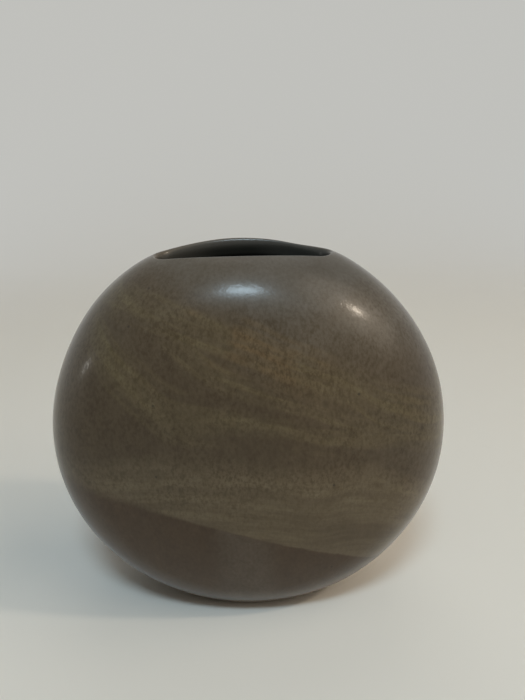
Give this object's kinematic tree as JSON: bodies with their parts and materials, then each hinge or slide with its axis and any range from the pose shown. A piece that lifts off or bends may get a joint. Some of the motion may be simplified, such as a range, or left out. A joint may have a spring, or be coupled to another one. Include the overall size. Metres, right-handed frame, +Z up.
{
  "type": "pillow vase",
  "caption": "Pillow-shaped stoneware flower vase: an upright round disc with full faces, an oval saddle-shaped mouth at the top, a hollow inside and a flat oval foot.",
  "frame": {"origin": "on the table, under the middle of the disc", "axes": "+X across the width, +Z up, the front face towards -Y"},
  "size_m": [0.22, 0.112, 0.2067],
  "materials": {
    "streaked_glaze": "satin-matt stoneware glaze, purplish brown under an olive coat that is poured in slanting streaks and ends in a dip line",
    "liner_glaze": "smooth dark brown liner glaze, glossier than the outside",
    "bare_stoneware": "bare fired stoneware clay, matt and finely gritty, with the glaze stopping above it"
  },
  "bodies": {
    "root": {"front_bowl": "streaked_glaze", "back_bowl": "streaked_glaze", "mouth_lip": "streaked_glaze", "left_seam_coil": "liner_glaze", "right_seam_coil": "liner_glaze", "foot": "bare_stoneware"}
  },
  "joints": []
}
